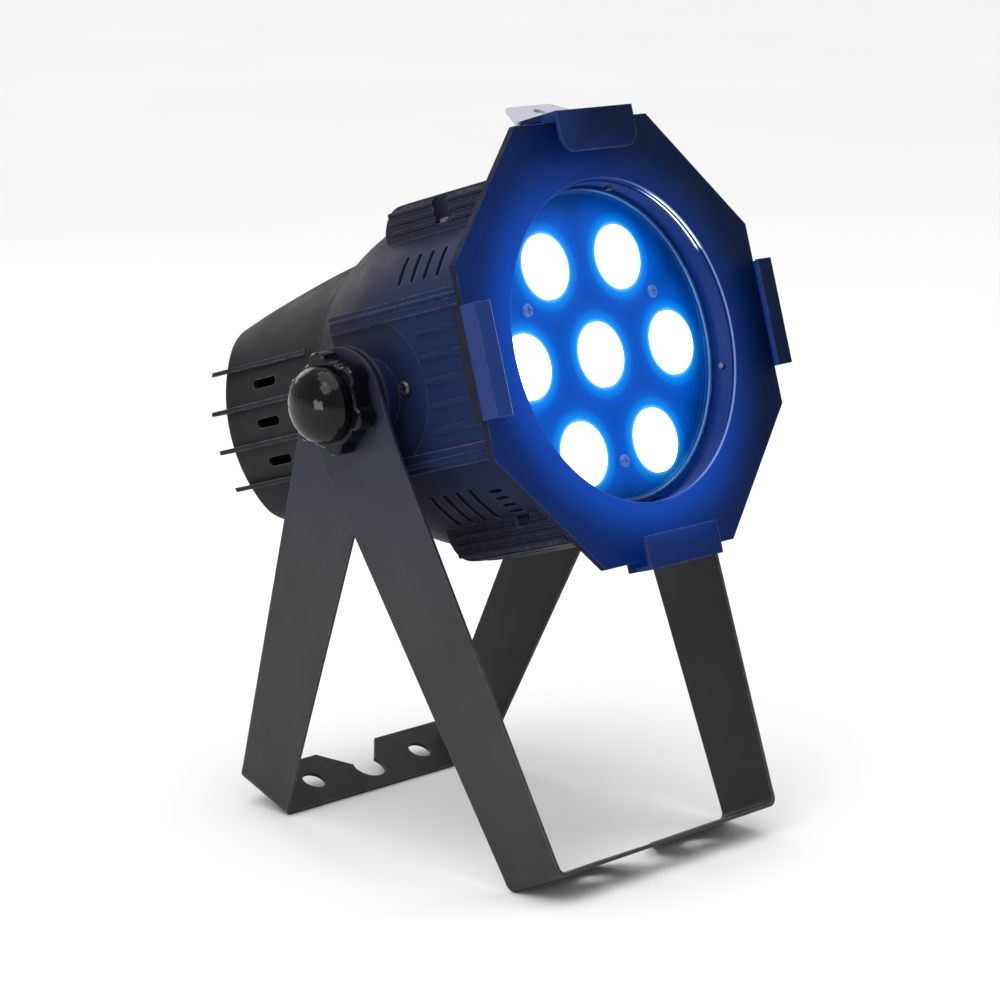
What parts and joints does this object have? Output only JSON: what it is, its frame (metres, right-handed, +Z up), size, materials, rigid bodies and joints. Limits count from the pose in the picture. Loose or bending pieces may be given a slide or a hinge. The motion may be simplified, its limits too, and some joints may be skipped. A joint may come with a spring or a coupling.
{
  "type": "led par can light",
  "caption": "LED par can stage light: ribbed barrel with eight-sided colour frame and sprung clip, hung between two swinging U brackets locked by star knobs.",
  "frame": {"origin": "middle of the whole light on the floor plane that the bracket edges stand on", "axes": "+Z up, X along the pivot axis of the two brackets, -Y the way the beam points (17.45 degrees above level in the stored pose)"},
  "size_m": [0.2332, 0.2416, 0.3283],
  "materials": {
    "aluminium": "extruded",
    "black_plastic": "moulded",
    "black_screw": "black oxide",
    "board": "green solder mask",
    "body_paint": "charcoal satin powder coat",
    "bracket_paint": "charcoal fine-texture powder coat",
    "button": "moulded",
    "can": "sleeved can",
    "copper": "plated contacts",
    "ferrite": "ferrite with yellow tape",
    "fibre": "friction fibre",
    "frame_paint": "matt black powder coat",
    "knob_plastic": "glossy black",
    "led": "lit blue",
    "lens": "clear moulded optic, lit",
    "lens_holder": "black moulded",
    "lens_plate": "satin black",
    "steel": "zinc plated",
    "window": "smoked"
  },
  "bodies": {
    "yoke": {"front_bracket": "bracket_paint"},
    "head": {"barrel_housing": "body_paint", "board_standoffs": "steel", "channel_clips": "frame_paint", "clip_pin": "steel", "clip_spring": "steel", "colour_frame": "frame_paint", "display_module": "black_plastic", "display_window": "window", "dmx_input": "steel", "dmx_input_insert": "black_plastic", "dmx_input_pins": "copper", "dmx_output": "steel", "driver_board": "board", "eye_nuts": "steel", "fan_frame": "black_plastic", "fan_screws": "black_screw", "frame_holder": "frame_paint", "friction_washers": "fibre", "fuse": "window", "heat_sink": "aluminium", "holder_screws": "black_screw", "inlet_pins": "copper", "led_board": "board", "led_emitters": "led", "lens_holders": "lens_holder", "lens_optics": "lens", "lens_plate": "lens_plate", "lens_plate_screws": "black_screw", "light_shroud": "lens_plate", "pivot_nut_plates": "steel", "pivot_spacers": "body_paint", "pocket_screws": "black_screw", "power_inlet": "black_plastic", "psu_board": "board", "psu_capacitors": "can", "psu_heat_sink": "aluminium", "psu_transformer": "ferrite", "rear_housing": "body_paint", "rear_panel": "body_paint", "rear_panel_screws": "black_screw", "safety_eye": "steel", "side_screws": "black_screw", "tact_switches": "black_plastic"},
    "stand": {"rear_bracket": "bracket_paint"},
    "clip": {"top_clip": "frame_paint"},
    "rotor": {"fan_rotor": "black_plastic"},
    "washer_left": {"knob_washer_left": "steel"},
    "knob_left": {"knob_stud_left": "steel", "knob_grip_left": "knob_plastic", "knob_cap_left": "knob_plastic"},
    "washer_right": {"knob_washer_right": "steel"},
    "knob_right": {"knob_stud_right": "steel", "knob_grip_right": "knob_plastic", "knob_cap_right": "knob_plastic"},
    "key_mode": {"button_mode": "button"},
    "key_up": {"button_up": "button"},
    "key_down": {"button_down": "button"},
    "key_enter": {"button_enter": "button"}
  },
  "joints": [
    {"name": "head_tilt", "type": "hinge", "parent": "yoke", "child": "head", "pos_m": [0, -0.00492, 0.2044], "axis": [1, 0, 0], "range_deg": [-205, 33]},
    {"name": "stand_swing", "type": "hinge", "parent": "head", "child": "stand", "pos_m": [0, -0.00492, 0.2044], "axis": [1, 0, 0], "range_deg": [-70, 180]},
    {"name": "clip_lift", "type": "hinge", "parent": "head", "child": "clip", "pos_m": [0, -0.0442, 0.31822], "axis": [-1, 0, 0], "range_deg": [0, 28], "stiffness_Nm_per_rad": 0.12},
    {"name": "fan_spin", "type": "hinge", "parent": "head", "child": "rotor", "pos_m": [0, -0.00492, 0.2044], "axis": [0, -0.954, 0.2999], "continuous": true},
    {"name": "washer_slide_left", "type": "slide", "parent": "head", "child": "washer_left", "axis": [-1, 0, 0], "range_m": [0, 0.0019]},
    {"name": "knob_turn_left", "type": "hinge", "parent": "washer_left", "child": "knob_left", "pos_m": [-0.09, -0.00492, 0.2044], "axis": [-1, 0, 0], "range_deg": [0, 540]},
    {"name": "washer_slide_right", "type": "slide", "parent": "head", "child": "washer_right", "axis": [1, 0, 0], "range_m": [0, 0.0019]},
    {"name": "knob_turn_right", "type": "hinge", "parent": "washer_right", "child": "knob_right", "pos_m": [0.09, -0.00492, 0.2044], "axis": [1, 0, 0], "range_deg": [0, 540]},
    {"name": "press_mode", "type": "slide", "parent": "head", "child": "key_mode", "axis": [0, -0.954, 0.2999], "range_m": [0, 0.001], "stiffness_N_per_m": 600},
    {"name": "press_up", "type": "slide", "parent": "head", "child": "key_up", "axis": [0, -0.954, 0.2999], "range_m": [0, 0.001], "stiffness_N_per_m": 600},
    {"name": "press_down", "type": "slide", "parent": "head", "child": "key_down", "axis": [0, -0.954, 0.2999], "range_m": [0, 0.001], "stiffness_N_per_m": 600},
    {"name": "press_enter", "type": "slide", "parent": "head", "child": "key_enter", "axis": [0, -0.954, 0.2999], "range_m": [0, 0.001], "stiffness_N_per_m": 600}
  ],
  "couplings": [
    {"joint": "washer_slide_left", "follows": "knob_turn_left", "m_per_rad": 0.00019894},
    {"joint": "washer_slide_right", "follows": "knob_turn_right", "m_per_rad": 0.00019894}
  ]
}
